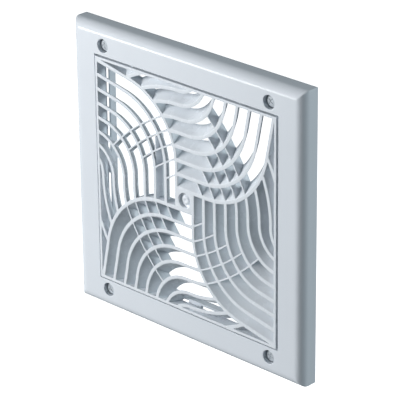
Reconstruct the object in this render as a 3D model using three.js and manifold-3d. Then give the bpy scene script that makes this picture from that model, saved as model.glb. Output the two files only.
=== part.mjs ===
// Square wall ventilation grille, in millimetres.
// A bezel frame is screwed to the wall through its four corners. A grille panel of swirling louvre
// ribs snaps into the frame's rebate and pulls out towards the room for cleaning.
//
// Everything is drawn in face coordinates: x to the right, y up, z out of the wall, with z = 0 on
// the wall. The whole assembly is turned once at the end, so that the wall is the plane y = 0, the
// room is on the -y side and z is up.

import * as THREE from "three";
import { mergeVertices } from "three/addons/utils/BufferGeometryUtils.js";
import Module from "manifold-3d";

const wasm = await Module();
wasm.setup();

// ---------------------------------------------------------------- driving dimensions

// Bezel frame
const FRAME_SIDE = 180;
const FRAME_DEPTH = 12;
const EDGE_RADIUS = 5.6; // quarter round along the four front edges
const FRAME_WALL = 2;
const FRAME_BAND = 18.4; // from the outer side to the opening for the panel
const LEDGE_REACH = 4.3; // how far the seat ledge passes inside the panel's edge
const LEDGE_THICKNESS = 2;
const LIP_WALL = 1.4; // the upright lip at the ledge's inner edge
const LEDGE_BRIDGE = 10; // solid ledge left between two slots and at each corner
const GUSSET_THICKNESS = 1.6;
const GUSSET_PITCH = 22;
const GUSSETS_PER_SIDE = 5;
const GUSSET_SETBACK = 1.5; // from the wall face

// Fit of the panel in the frame
const PANEL_GAP = 0.6; // open groove all round the panel
const SEAT_CLEARANCE = 0.3; // panel's back edge to the ledge
const PANEL_PROUD = 0.5; // panel's front face stands in front of the bezel

// Grille panel
const PANEL_DEPTH = 7.4;
const RIM_WIDTH = 1.9;
const RIB_WIDTH = 2.3;
const CROSS_RIB_WIDTH = 1;
const RIB_PITCH = 8.6;
const RIB_LEAN = 4.7; // sideways run of a louvre rib from its front edge to its back edge
const CROSS_RIBS = 5; // thin ribs that cross the louvres, in each quarter
const NUB_HEIGHT = 0.3; // friction nubs on the panel's sides
const NUB_RADIUS = 1.6;
const NUB_SPREAD = 42; // nub centres from the middle of a side
const FIN_TOP = 33; // the one upright fin, from the panel's centre
const FIN_BOTTOM = -8;
const FIN_RIB = 2; // the louvre that the fin stands behind
const FIN_SETBACK = 1; // behind the front face

// Swirl pattern, for the lower right quarter, from the panel's centre
const FIRST_RIB_X = 6.4; // the boundary rib's upright stretch
const HUB_ARC_RADIUS = 13.5; // the boundary rib's arc about its hub point
const HUB_Y = 3.5;
const BEND_RADIUS = 45.5; // the boundary rib's bend
const BEND_RADIUS_STEP = 4.2; // each next rib bends tighter by this
const BEND_RADIUS_LEAST = 4;
const UPRIGHT_LEAST = 0.5; // between a rib's hub arc and its bend
const CORNER_OFFSET = 2.1; // the boundary rib's end above the panel's corner
const CROSS_ARC_X = -37.7; // the point that the thin cross ribs are arcs about
const CROSS_ARC_Y = 71;
const CROSS_ARC_RADIUS = 87.5; // each next one is wider by the rib pitch
const CROSS_ARC_FROM = -1.4; // their angles, in radians
const CROSS_ARC_TO = -0.4;
const EDGE_PITCH = 9; // between rib ends along the panel's edge
const END_SLOPE = 0.2; // fall of the last stretch of each rib

// Centre boss
const BOSS_RECESS_RADIUS = 4.5;
const BOSS_RECESS_DEPTH = 2.6;
const BOSS_BUTTON_RADIUS = 2.3;
const BOSS_BUTTON_TOP_RADIUS = 1.6;
const BOSS_BUTTON_HEIGHT = 1.2;
const BOSS_WEB = 2;

// Fixing screws
const SCREW_INSET = 25.2; // screw centres from the frame's left and right sides
const SCREW_HEAD_RADIUS = 3.7;
const SCREW_HEAD_HEIGHT = 1.9;
const SCREW_HEAD_RIM = 0.7; // straight side of the head, under its crown
const SCREW_SHANK_RADIUS = 1.9;
const SCREW_LENGTH = 20; // under the head
const SCREW_TIP_LENGTH = 4;
const SCREW_SLOT_WIDTH = 1;
const SCREW_SLOT_LENGTH = 4.2;
const SCREW_SLOT_DEPTH = 1.3;
const HEAD_CLEARANCE = 0.5; // round the head, in its recess
const HEAD_SEAT_GAP = 0.3; // under the head
const SHANK_CLEARANCE = 0.4; // round the shank, in its bore
const RECESS_DEPTH = 4;
const SCREW_BOSS_WALL = 1.5;

// Facets
const ARC_STEPS = 6;
const ROUND_STEPS = 24;
const EDGE_STEPS = 5;
const CROWN_STEPS = 3;

// ---------------------------------------------------------------- derived places

const frameHalf = FRAME_SIDE / 2;
const openingHalf = frameHalf - FRAME_BAND;
const panelHalf = openingHalf - PANEL_GAP;
const panelFront = FRAME_DEPTH + PANEL_PROUD;
const panelBack = panelFront - PANEL_DEPTH;
const ledgeFront = panelBack - SEAT_CLEARANCE;
const ledgeBack = ledgeFront - LEDGE_THICKNESS;
const lipHalf = panelHalf - LEDGE_REACH;
const screwX = frameHalf - SCREW_INSET;
const bandMiddle = (openingHalf + frameHalf - EDGE_RADIUS) / 2;
const recessRadius = SCREW_HEAD_RADIUS + HEAD_CLEARANCE;
const recessFloor = FRAME_DEPTH - RECESS_DEPTH;
const bossRadius = FIRST_RIB_X + RIB_WIDTH / 2;
const hubX = FIRST_RIB_X - HUB_ARC_RADIUS;
const BEYOND = 5; // cutters pass the surface that they cut by this

// ---------------------------------------------------------------- solids

// A closed three.js geometry as a solid that can be joined and cut.
function solid(geometry) {
  const bare = geometry.clone();
  bare.deleteAttribute("normal");
  bare.deleteAttribute("uv");
  const merged = mergeVertices(bare, 1e-5);
  const vertProperties = new Float32Array(merged.attributes.position.array);
  const triVerts = new Uint32Array(merged.index.array);
  return new wasm.Manifold(new wasm.Mesh({ numProp: 3, vertProperties, triVerts }));
}

// A solid back as a flat-shaded three.js geometry.
function geometryOf(body) {
  const { vertProperties, triVerts } = body.getMesh();
  const geometry = new THREE.BufferGeometry();
  geometry.setAttribute("position", new THREE.BufferAttribute(vertProperties, 3));
  geometry.setIndex(new THREE.BufferAttribute(triVerts, 1));
  geometry.computeVertexNormals();
  return geometry;
}

function join(bodies) {
  return bodies.reduce((whole, body) => whole.add(body));
}

function block(width, height, depth, x, y, z) {
  return solid(new THREE.BoxGeometry(width, height, depth).translate(x, y, z));
}

// A round body about the z axis through (x, y), from [radius, z] profile points.
function turned(profile, x = 0, y = 0) {
  const points = profile.map(([radius, z]) => new THREE.Vector2(radius, z));
  const lathe = new THREE.LatheGeometry(points, ROUND_STEPS);
  return solid(lathe.rotateX(Math.PI / 2).translate(x, y, 0));
}

function rod(radius, zLow, zHigh, x, y) {
  return turned([[0, zLow], [radius, zLow], [radius, zHigh], [0, zHigh]], x, y);
}

// A solid ruled from a back outline at panelBack to a front outline at panelFront. Both outlines
// have the same number of points, so a rib may lean and a region may have leaning walls.
function ruledSolid(frontOutline, backOutline) {
  const clockwise = THREE.ShapeUtils.isClockWise(frontOutline);
  const front = clockwise ? [...frontOutline].reverse() : frontOutline;
  const back = clockwise ? [...backOutline].reverse() : backOutline;
  const count = front.length;
  const positions = [
    ...front.flatMap((point) => [point.x, point.y, panelFront]),
    ...back.flatMap((point) => [point.x, point.y, panelBack]),
  ];
  const index = [];
  for (const [a, b, c] of THREE.ShapeUtils.triangulateShape(front, [])) {
    index.push(a, b, c, count + a, count + c, count + b);
  }
  for (let i = 0; i < count; i += 1) {
    const next = (i + 1) % count;
    index.push(count + i, count + next, next, count + i, next, i);
  }
  const geometry = new THREE.BufferGeometry();
  geometry.setAttribute("position", new THREE.Float32BufferAttribute(positions, 3));
  geometry.setIndex(index);
  return solid(geometry);
}

// ---------------------------------------------------------------- swirl pattern

function arcPoints(centreX, centreY, radius, fromAngle, toAngle, steps = ARC_STEPS) {
  return Array.from({ length: steps + 1 }, (_, i) => {
    const angle = fromAngle + ((toAngle - fromAngle) * i) / steps;
    return new THREE.Vector2(centreX + radius * Math.cos(angle), centreY + radius * Math.sin(angle));
  });
}

// Centre line of louvre rib number k of the lower right quarter: an arc about the hub point, an
// upright stretch, a bend and a gently falling last stretch that runs past the panel's edge.
// k may be a fraction, which gives a curve between two ribs.
function ribPath(k) {
  const x = FIRST_RIB_X + RIB_PITCH * k;
  const bend = Math.max(BEND_RADIUS - BEND_RADIUS_STEP * k, BEND_RADIUS_LEAST);
  const bendX = x + bend;
  const endAt = (lineX) => EDGE_PITCH * k + CORNER_OFFSET - panelHalf - END_SLOPE * (lineX - panelHalf);
  const bendY = Math.min(endAt(bendX) + bend * Math.hypot(1, END_SLOPE), HUB_Y - UPRIGHT_LEAST);
  const endAngle = 1.5 * Math.PI - Math.atan(END_SLOPE);
  const lastX = Math.max(panelHalf, bendX) + 2 * BEYOND;
  const hubArc = arcPoints(hubX, HUB_Y, HUB_ARC_RADIUS + RIB_PITCH * k, Math.PI / 2, 0);
  const bendArc = arcPoints(bendX, bendY, bend, Math.PI, endAngle);
  const bent = bendArc[bendArc.length - 1];
  return [...hubArc, ...bendArc, new THREE.Vector2(lastX, bent.y - END_SLOPE * (lastX - bent.x))];
}

// The boundary rib between two quarters has no hub arc. It starts upright, at height startY.
function boundaryPath(k, startY) {
  const start = new THREE.Vector2(FIRST_RIB_X + RIB_PITCH * k, startY);
  return [start, ...ribPath(k).slice(ARC_STEPS + 1)];
}

// The outline of a strip of the given width along a path.
function stripOutline(path, width) {
  const left = [];
  const right = [];
  path.forEach((point, i) => {
    const before = path[Math.max(i - 1, 0)];
    const after = path[Math.min(i + 1, path.length - 1)];
    const along = after.clone().sub(before).normalize();
    const side = new THREE.Vector2(-along.y, along.x).multiplyScalar(width / 2);
    left.push(point.clone().add(side));
    right.push(point.clone().sub(side));
  });
  return [...left, ...right.reverse()];
}

function quarterTurn(path) {
  return path.map((point) => new THREE.Vector2(-point.y, point.x));
}

// One quarter of the pattern: its boundary rib, which is an upright wall and a leaning louvre with
// one front edge, then its other leaning louvres and its thin upright cross ribs.
function swirlQuarter() {
  const boundary = boundaryPath(0, 0);
  const nextBoundary = quarterTurn(boundary);
  const corner = new THREE.Vector2(panelHalf + BEYOND, panelHalf + BEYOND);
  const region = [new THREE.Vector2(0, 0), ...boundary, corner, ...nextBoundary.reverse()];
  const leanInPitches = RIB_LEAN / RIB_PITCH;
  const louvreCount = Math.ceil(panelHalf / RIB_PITCH);

  const pathOf = (k, lean = 0) => (k === 0 ? boundaryPath(lean, FIRST_RIB_X) : ribPath(k + lean));
  const louvres = [];
  for (let k = 0; k <= louvreCount; k += 1) {
    const front = stripOutline(pathOf(k), RIB_WIDTH);
    const back = stripOutline(pathOf(k, leanInPitches), RIB_WIDTH);
    louvres.push(ruledSolid(front, back));
  }

  const crossRibs = [];
  for (let k = 1; k <= CROSS_RIBS; k += 1) {
    const radius = CROSS_ARC_RADIUS + RIB_PITCH * k;
    const path = arcPoints(CROSS_ARC_X, CROSS_ARC_Y, radius, CROSS_ARC_FROM, CROSS_ARC_TO);
    const arc = stripOutline(path, CROSS_RIB_WIDTH);
    const reach = (pitches) => [...boundary, ...ribPath(pitches).reverse()];
    crossRibs.push(ruledSolid(arc, arc).intersect(ruledSolid(reach(k), reach(k + leanInPitches))));
  }

  const wall = stripOutline(boundary, RIB_WIDTH);
  return join([
    ruledSolid(wall, wall),
    join(louvres).intersect(ruledSolid(region, region)),
    ...crossRibs,
  ]);
}

// ---------------------------------------------------------------- parts

// A square ring with mitred corners, from [distance from the centre, z] profile points in order.
function squareRing(profile) {
  const points = profile.map(([reach, z]) => new THREE.Vector2(reach * Math.SQRT2, z));
  const lathe = new THREE.LatheGeometry([...points, points[0]], 4, Math.PI / 4);
  return solid(lathe.rotateX(Math.PI / 2));
}

function frameSection() {
  const outerArc = arcPoints(frameHalf - EDGE_RADIUS, FRAME_DEPTH - EDGE_RADIUS, EDGE_RADIUS,
    0, Math.PI / 2, EDGE_STEPS);
  const innerArc = arcPoints(frameHalf - EDGE_RADIUS, FRAME_DEPTH - EDGE_RADIUS,
    EDGE_RADIUS - FRAME_WALL, Math.PI / 2, 0, EDGE_STEPS);
  return [
    [frameHalf, 0],
    ...outerArc.map((point) => [point.x, point.y]),
    [openingHalf, FRAME_DEPTH],
    [openingHalf, ledgeFront],
    [lipHalf, ledgeFront],
    [lipHalf, 0],
    [lipHalf + LIP_WALL, 0],
    [lipHalf + LIP_WALL, ledgeBack],
    [openingHalf + FRAME_WALL, ledgeBack],
    [openingHalf + FRAME_WALL, FRAME_DEPTH - FRAME_WALL],
    ...innerArc.map((point) => [point.x, point.y]),
    [frameHalf - FRAME_WALL, 0],
  ];
}

const screwPlaces = [
  ["top_left", -screwX, bandMiddle],
  ["top_right", screwX, bandMiddle],
  ["bottom_left", -screwX, -bandMiddle],
  ["bottom_right", screwX, -bandMiddle],
];

// The hollow behind the bezel's face, filled and sunk halfway into the walls round it.
function hollowFill() {
  const inner = openingHalf + FRAME_WALL / 2;
  const round = arcPoints(frameHalf - EDGE_RADIUS, FRAME_DEPTH - EDGE_RADIUS,
    EDGE_RADIUS - FRAME_WALL / 2, 0, Math.PI / 2, EDGE_STEPS);
  return squareRing([
    [inner, 0],
    [frameHalf - FRAME_WALL / 2, 0],
    ...round.map((point) => [point.x, point.y]),
    [inner, FRAME_DEPTH - FRAME_WALL / 2],
  ]);
}

// Upright slabs across the band of all four sides, which become the webs behind the bezel.
function gussetSlabs() {
  const height = FRAME_DEPTH - GUSSET_SETBACK;
  const slabs = [];
  for (let i = 0; i < GUSSETS_PER_SIDE; i += 1) {
    const along = (i - (GUSSETS_PER_SIDE - 1) / 2) * GUSSET_PITCH;
    const z = GUSSET_SETBACK + height / 2;
    for (const side of [-1, 1]) {
      const across = side * (frameHalf - FRAME_BAND / 2);
      slabs.push(block(FRAME_BAND, GUSSET_THICKNESS, height, across, along, z));
      slabs.push(block(GUSSET_THICKNESS, FRAME_BAND, height, along, across, z));
    }
  }
  return slabs;
}

// Two open slots through the ledge of each side, between the lip and the opening's wall.
function ledgeSlots() {
  const inner = lipHalf + LIP_WALL;
  const width = openingHalf - inner;
  const from = LEDGE_BRIDGE / 2;
  const length = lipHalf - from - LEDGE_BRIDGE / 2;
  const z = (ledgeFront + ledgeBack) / 2;
  const slots = [];
  for (const side of [-1, 1]) {
    for (const end of [-1, 1]) {
      const across = side * (inner + width / 2);
      const along = end * (from + length / 2);
      slots.push(block(width, length, LEDGE_THICKNESS + 2, across, along, z));
      slots.push(block(length, width, LEDGE_THICKNESS + 2, along, across, z));
    }
  }
  return slots;
}

function frameSolid() {
  const bosses = screwPlaces.map(([, x, y]) => {
    return rod(recessRadius + SCREW_BOSS_WALL, 0, FRAME_DEPTH, x, y);
  });
  const cuts = screwPlaces.map(([, x, y]) => {
    const bore = SCREW_SHANK_RADIUS + SHANK_CLEARANCE;
    return turned([
      [0, -BEYOND],
      [bore, -BEYOND],
      [bore, recessFloor],
      [recessRadius, recessFloor],
      [recessRadius, FRAME_DEPTH + BEYOND],
      [0, FRAME_DEPTH + BEYOND],
    ], x, y);
  });
  const behind = join([...gussetSlabs(), ...bosses]).intersect(hollowFill());
  return squareRing(frameSection()).add(behind).subtract(join([...cuts, ...ledgeSlots()]));
}

function centreBoss() {
  const recess = panelFront - BOSS_RECESS_DEPTH;
  const hollow = recess - BOSS_WEB;
  return turned([
    [0, hollow],
    [BOSS_RECESS_RADIUS, hollow],
    [BOSS_RECESS_RADIUS, panelBack],
    [bossRadius, panelBack],
    [bossRadius, panelFront],
    [BOSS_RECESS_RADIUS, panelFront],
    [BOSS_RECESS_RADIUS, recess],
    [BOSS_BUTTON_RADIUS, recess],
    [BOSS_BUTTON_TOP_RADIUS, recess + BOSS_BUTTON_HEIGHT],
    [0, recess + BOSS_BUTTON_HEIGHT],
  ]);
}

// Half-round friction nubs on the panel's four sides, two to a side.
function frictionNubs() {
  const nubs = [];
  const middle = (panelFront + panelBack) / 2;
  for (let side = 0; side < 4; side += 1) {
    for (const along of [-NUB_SPREAD, NUB_SPREAD]) {
      const sunk = NUB_RADIUS - NUB_HEIGHT;
      const nub = new THREE.CylinderGeometry(NUB_RADIUS, NUB_RADIUS, PANEL_DEPTH / 2, ROUND_STEPS);
      nub.rotateX(Math.PI / 2).translate(panelHalf - sunk, along, middle);
      const outside = block(2 * NUB_RADIUS, 3 * NUB_RADIUS, PANEL_DEPTH,
        panelHalf - RIM_WIDTH / 2 + NUB_RADIUS, along, middle);
      const kept = geometryOf(solid(nub).intersect(outside));
      nubs.push(solid(kept.rotateZ((side * Math.PI) / 2)));
    }
  }
  return nubs;
}

function panelSolid() {
  const rim = squareRing([
    [panelHalf, panelBack],
    [panelHalf, panelFront],
    [panelHalf - RIM_WIDTH, panelFront],
    [panelHalf - RIM_WIDTH, panelBack],
  ]);
  const quarter = geometryOf(swirlQuarter());
  const quarters = [0, 1, 2, 3].map((turn) => solid(quarter.clone().rotateZ((turn * Math.PI) / 2)));
  const inside = 2 * panelHalf - RIM_WIDTH;
  const within = block(inside, inside, PANEL_DEPTH + 2 * BEYOND, 0, 0, (panelFront + panelBack) / 2);
  const finX = -FIRST_RIB_X - RIB_PITCH * FIN_RIB;
  const finDepth = PANEL_DEPTH - FIN_SETBACK;
  const fin = block(CROSS_RIB_WIDTH, FIN_TOP - FIN_BOTTOM, finDepth,
    finX, (FIN_TOP + FIN_BOTTOM) / 2, panelBack + finDepth / 2);
  const bossHole = rod(bossRadius - RIM_WIDTH / 2, panelBack - BEYOND, panelFront + BEYOND, 0, 0);
  const pattern = join([...quarters, fin]).intersect(within).subtract(bossHole);
  return join([pattern, rim, centreBoss(), ...frictionNubs()]);
}

// A cross-recess pan-head screw along the z axis through (x, y), its head in the bezel's recess.
function screwSolid(x, y) {
  const seat = recessFloor + HEAD_SEAT_GAP;
  const top = seat + SCREW_HEAD_HEIGHT;
  const tip = seat - SCREW_LENGTH;
  const crownHeight = SCREW_HEAD_HEIGHT - SCREW_HEAD_RIM;
  const crown = Array.from({ length: CROWN_STEPS }, (_, i) => {
    const angle = ((Math.PI / 2) * i) / CROWN_STEPS;
    return [SCREW_HEAD_RADIUS * Math.cos(angle), top - crownHeight * (1 - Math.sin(angle))];
  });
  const body = turned([
    [0, tip],
    [SCREW_SHANK_RADIUS, tip + SCREW_TIP_LENGTH],
    [SCREW_SHANK_RADIUS, seat],
    [SCREW_HEAD_RADIUS, seat],
    ...crown,
    [0, top],
  ], x, y);
  const slotZ = top - SCREW_SLOT_DEPTH / 2 + BEYOND / 2;
  const slotHeight = SCREW_SLOT_DEPTH + BEYOND;
  const slots = join([
    block(SCREW_SLOT_LENGTH, SCREW_SLOT_WIDTH, slotHeight, x, y, slotZ),
    block(SCREW_SLOT_WIDTH, SCREW_SLOT_LENGTH, slotHeight, x, y, slotZ),
  ]);
  return body.subtract(slots);
}

// ---------------------------------------------------------------- assembly

const bezelPlastic = () => new THREE.MeshStandardMaterial({ color: 0xdce3eb, roughness: 0.35, metalness: 0 });
const panelPlastic = () => new THREE.MeshStandardMaterial({ color: 0xe1e8f0, roughness: 0.4, metalness: 0 });
const screwSteel = () => new THREE.MeshStandardMaterial({ color: 0xc3c9cf, roughness: 0.35, metalness: 0.9 });

const grille = new THREE.Group();
grille.rotation.x = Math.PI / 2;

function addPart(name, body, material) {
  const mesh = new THREE.Mesh(geometryOf(body), material);
  mesh.name = name;
  grille.add(mesh);
}

addPart("bezel_frame", frameSolid(), bezelPlastic());
addPart("grille_panel", panelSolid(), panelPlastic());
for (const [place, x, y] of screwPlaces) {
  addPart(`fixing_screw_${place}`, screwSolid(x, y), screwSteel());
}

export default grille;
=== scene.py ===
"""The fine surfaces, finishes and stage of a square wall grille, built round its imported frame.

All sizes are in metres. A piece is drawn in face coordinates, x to the right, y up and z out of the
wall, and is turned into the world at the end: world (x, -z, y).
"""

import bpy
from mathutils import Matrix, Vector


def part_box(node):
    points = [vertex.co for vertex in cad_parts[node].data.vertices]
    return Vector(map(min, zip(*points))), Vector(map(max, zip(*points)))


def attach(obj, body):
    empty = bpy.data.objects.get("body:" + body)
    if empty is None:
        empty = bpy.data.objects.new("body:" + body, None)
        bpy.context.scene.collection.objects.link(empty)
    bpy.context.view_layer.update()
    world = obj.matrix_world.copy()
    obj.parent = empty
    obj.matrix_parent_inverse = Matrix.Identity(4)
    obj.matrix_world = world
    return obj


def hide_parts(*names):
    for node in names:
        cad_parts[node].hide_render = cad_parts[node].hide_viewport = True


bl_info = {
    "name": "Swirl Wall Grille",
    "version": (1, 0, 0),
    "blender": (4, 5, 0),
    "location": "3D View > Sidebar > Grille",
    "description": "Builds the bezel, louvre panel, screws and stage of a wall ventilation grille",
    "category": "Add Mesh",
}

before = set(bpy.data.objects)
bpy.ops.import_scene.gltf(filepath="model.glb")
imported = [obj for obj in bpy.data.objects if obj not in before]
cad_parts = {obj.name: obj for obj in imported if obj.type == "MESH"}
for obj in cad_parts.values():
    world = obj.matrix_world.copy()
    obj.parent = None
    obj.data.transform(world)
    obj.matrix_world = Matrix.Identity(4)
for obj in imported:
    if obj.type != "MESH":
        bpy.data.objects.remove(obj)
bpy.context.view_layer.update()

import bmesh
import bpy
import numpy as np
from bpy.props import FloatProperty, FloatVectorProperty, IntProperty, PointerProperty
from mathutils import Matrix, Vector

MM = 0.001
SMOOTH_ANGLE = np.radians(35.0)
MERGE_DISTANCE = 2e-7

CORNER_STEPS = 4  # columns round half of a softened corner
FILLET_STEPS = 8
FINE_STEPS = 4  # round a fillet that is hardly seen
SLAB_STEPS = 3
RIM_STEPS = 5
EASE_POINTS = 6  # over the eased lip of a recess
ROUND_COLUMNS = 64
BLEND_ROWS = 12  # rows across a face that holds a screw recess
BAND_COLUMNS = 14  # columns between two screw recesses
RING_STATIONS = 19  # columns along a side of a plain square ring
RIM_CORNER = 0.4 * MM

SWEEP_STEP = 1.8 * MM  # between two sections of a rib
TURN_WEIGHT = 10 * MM  # length that one radian of turning counts as
LAYER_STEP = 0.03 * MM  # keeps the flats of crossing ribs apart
BRIDGE_STEP = 0.01 * MM  # keeps the flats of meeting bridges apart
RIB_ROWS = 6  # down the side of a rib
PAST_RIM = 10 * MM  # how far a curve runs on past the rim
LAST_PLACE = 3.999  # just short of a curve's end
LOUVRE_PLACES = 900  # samples along each kind of curve before it is trimmed
WALL_PLACES = 700
CROSS_PLACES = 500
WALL_BACK = 0.9  # back width of a boundary wall as a share of its front width
RIB_BACK = 0.85
THIN_FILLET = 0.6  # a cross rib's fillet as a share of a louvre's
FIN_FILLET = 0.2 * MM

HEAD_COLUMNS = 96
HEAD_ROWS = 44
HEAD_EASE = 0.15 * MM
SLOT_TAPER = 0.35  # share of its width that a slot loses towards its tip
SLOT_WALL = 0.16 * MM  # width of the soft step into a slot
THREAD_COLUMNS = 40
THREAD_ROWS = 190
PLAIN_SHANK = 1.2 * MM  # under the head, and again while the crest rises
BLUNT_TIP = 0.02  # the tip's radius as a share of the core
SCREW_TURNS = {  # degrees at which each screw came to rest
    "fixing_screw_top_left": 12.0,
    "fixing_screw_top_right": 51.0,
    "fixing_screw_bottom_left": 33.0,
    "fixing_screw_bottom_right": 74.0,
}

SENSOR_WIDTH = 36.0  # millimetres, as the lens is
CLIP_START = 0.05
CLIP_END = 40.0


# ------------------------------------------------------------------ sizes from the frame


def low_high(node):
    """Lowest and highest corner of a CAD node."""
    low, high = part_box(node)
    return np.array(low), np.array(high)


BEZEL_LOW, BEZEL_HIGH = low_high("bezel_frame")
PANEL_LOW, PANEL_HIGH = low_high("grille_panel")
FRAME_HALF = float(BEZEL_HIGH[0])
FRAME_DEPTH = float(-BEZEL_LOW[1])
PANEL_FRONT = float(-PANEL_LOW[1])
PANEL_BACK = float(-PANEL_HIGH[1])
SCREW_LOW, SCREW_HIGH = low_high("fixing_screw_top_right")
SCREW_X = float(SCREW_LOW[0] + SCREW_HIGH[0]) / 2
SCREW_Y = float(SCREW_LOW[2] + SCREW_HIGH[2]) / 2
SCREW_TOP = float(-SCREW_LOW[1])
SCREW_TIP = float(-SCREW_HIGH[1])
SCREW_HEAD_RADIUS = float(SCREW_HIGH[0] - SCREW_LOW[0]) / 2


# ------------------------------------------------------------------ user's sizes and colours


def length(name, description, default):
    """A size in metres."""
    return FloatProperty(name=name, description=description, default=default, unit="LENGTH",
                         precision=5, min=0.0)


def angle(name, description, default):
    """An angle, given in degrees and kept in radians."""
    return FloatProperty(name=name, description=description, default=np.radians(default),
                         subtype="ANGLE")


def colour(name, description, default):
    """A linear colour."""
    return FloatVectorProperty(name=name, description=description, default=default, size=3,
                               subtype="COLOR", min=0.0, max=1.0)


class BezelSettings(bpy.types.PropertyGroup):
    """Sizes and colour of the bezel frame"""

    edge_radius: length("Edge radius", "Quarter round of the four front edges", 5.6 * MM)
    band: length("Band width", "From the outer side to the panel's opening", 18.4 * MM)
    wall: length("Wall", "Thickness of the moulded walls", 2 * MM)
    draft: length("Draft", "Mould draft that opens the panel's opening", 0.2 * MM)
    fillet: length("Fillet", "Small rounding of every other edge", 0.2 * MM)
    mitre: length("Mitre radius", "Softening of the four mitred corners", 0.45 * MM)
    ledge_reach: length("Ledge reach", "How far the seat ledge passes inside the panel", 4.3 * MM)
    ledge_thickness: length("Ledge thickness", "Thickness of the seat ledge", 2 * MM)
    ledge_bridge: length("Ledge bridge", "Solid ledge between two slots", 10 * MM)
    lip_wall: length("Lip wall", "Thickness of the lip round the duct's mouth", 1.4 * MM)
    seat_clearance: length("Seat clearance", "Panel's back edge to the ledge", 0.3 * MM)
    recess_radius: length("Recess radius", "Screw recess in the face", 4.2 * MM)
    recess_depth: length("Recess depth", "Depth of the screw recess", 4 * MM)
    bore_radius: length("Bore radius", "Clearance bore for a screw", 2.3 * MM)
    boss_wall: length("Boss wall", "Wall round a screw recess", 1.5 * MM)
    gusset_thickness: length("Web thickness", "Webs across the hollow back", 1.6 * MM)
    gusset_pitch: length("Web pitch", "Distance between two webs", 22 * MM)
    gusset_setback: length("Web setback", "Webs stop this far from the wall", 1.5 * MM)
    gussets: IntProperty(name="Webs a side", description="Webs behind each side", default=5, min=1)
    colour: colour("Colour", "Moulded plastic of the bezel", (0.75, 0.79, 0.84))


class PanelSettings(bpy.types.PropertyGroup):
    """Sizes and colour of the panel"""

    gap: length("Gap", "Open groove all round the panel", 0.6 * MM)
    draft: length("Draft", "Mould draft that eases the rim's outer side", 0.2 * MM)
    rim: length("Rim width", "Width of the panel's rim", 1.9 * MM)
    rib: length("Rib width", "Width of a louvre rib's front edge", 2.3 * MM)
    cross_rib: length("Cross rib width", "Width of the thin ribs", 1.05 * MM)
    pitch: length("Rib pitch", "Distance between two louvre ribs", 8.6 * MM)
    lean: length("Lean", "Sideways run of a louvre rib to its back edge", 4.7 * MM)
    fillet: length("Fillet", "Rounding of the front edges", 0.32 * MM)
    cross_ribs: IntProperty(name="Cross ribs", description="In each quarter", default=5, min=1)
    first_rib: length("First rib", "Boundary rib from the middle", 6.4 * MM)
    hub_radius: length("Hub arc radius", "Arc of the boundary rib about its hub", 13.5 * MM)
    hub_height: length("Hub height", "Hub point above the middle", 3.5 * MM)
    bend: length("Bend radius", "Bend of the boundary rib", 45.5 * MM)
    bend_step: length("Bend step", "Each next rib bends tighter by this", 4.2 * MM)
    bend_least: length("Least bend", "Smallest bend radius", 4 * MM)
    upright_least: length("Least upright", "Between a hub arc and its bend", 0.5 * MM)
    corner_offset: length("Corner offset", "Boundary rib's end above the corner", 2.1 * MM)
    edge_pitch: length("Edge pitch", "Between rib ends on the panel's edge", 9 * MM)
    end_slope: FloatProperty(name="End slope", description="Fall of a rib's last stretch",
                             default=0.2)
    cross_centre: FloatVectorProperty(name="Cross rib centre", description="Point they arc about",
                                      size=2, default=(-37.7 * MM, 71 * MM), unit="LENGTH")
    cross_radius: length("Cross rib radius", "Each next one is wider by the pitch", 87.5 * MM)
    cross_from: FloatProperty(name="Cross rib start", description="First angle of the arc",
                              default=-1.4, subtype="ANGLE")
    cross_to: FloatProperty(name="Cross rib end", description="Last angle of the arc",
                            default=-0.4, subtype="ANGLE")
    fin_top: length("Fin top", "Upper end of the upright fin", 33 * MM)
    fin_drop: length("Fin drop", "Lower end of the fin, under the middle", 8 * MM)
    fin_setback: length("Fin setback", "Fin's front edge behind the face", 1 * MM)
    fin_rib: IntProperty(name="Fin rib", description="Louvre that the fin stands behind",
                         default=2, min=1)
    nub_height: length("Nub height", "Friction nubs on the panel's sides", 0.3 * MM)
    nub_radius: length("Nub radius", "Rounding of the friction nubs", 1.6 * MM)
    nub_spread: length("Nub spread", "Nubs from the middle of a side", 42 * MM)
    recess_radius: length("Boss dish radius", "Dish in the centre boss", 4.5 * MM)
    recess_depth: length("Boss dish depth", "Depth of the dish", 1.9 * MM)
    button_radius: length("Button radius", "Button in the dish", 3.1 * MM)
    button_height: length("Button height", "Height of the button", 1.0 * MM)
    boss_web: length("Boss web", "Thickness behind the dish", 2 * MM)
    colour: colour("Colour", "Moulded plastic of the panel", (0.78, 0.82, 0.865))


class ScrewSettings(bpy.types.PropertyGroup):
    """Sizes and colour of the screws"""

    shank: length("Thread radius", "Outside of the thread", 1.9 * MM)
    core: length("Core radius", "Root of the thread", 1.35 * MM)
    pitch: length("Thread pitch", "Rise of one turn", 1.6 * MM)
    tip: length("Tip length", "Cone at the end", 4 * MM)
    head: length("Head height", "Pan head", 1.9 * MM)
    head_rim: length("Head rim", "Straight side of the head", 0.7 * MM)
    slot_width: length("Slot width", "Arm of the cross recess", 0.8 * MM)
    slot_length: length("Slot length", "Across the cross recess", 4.2 * MM)
    slot_depth: length("Slot depth", "Depth of the cross recess", 0.35 * MM)
    colour: colour("Colour", "Zinc plating", (0.55, 0.59, 0.63))


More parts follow.
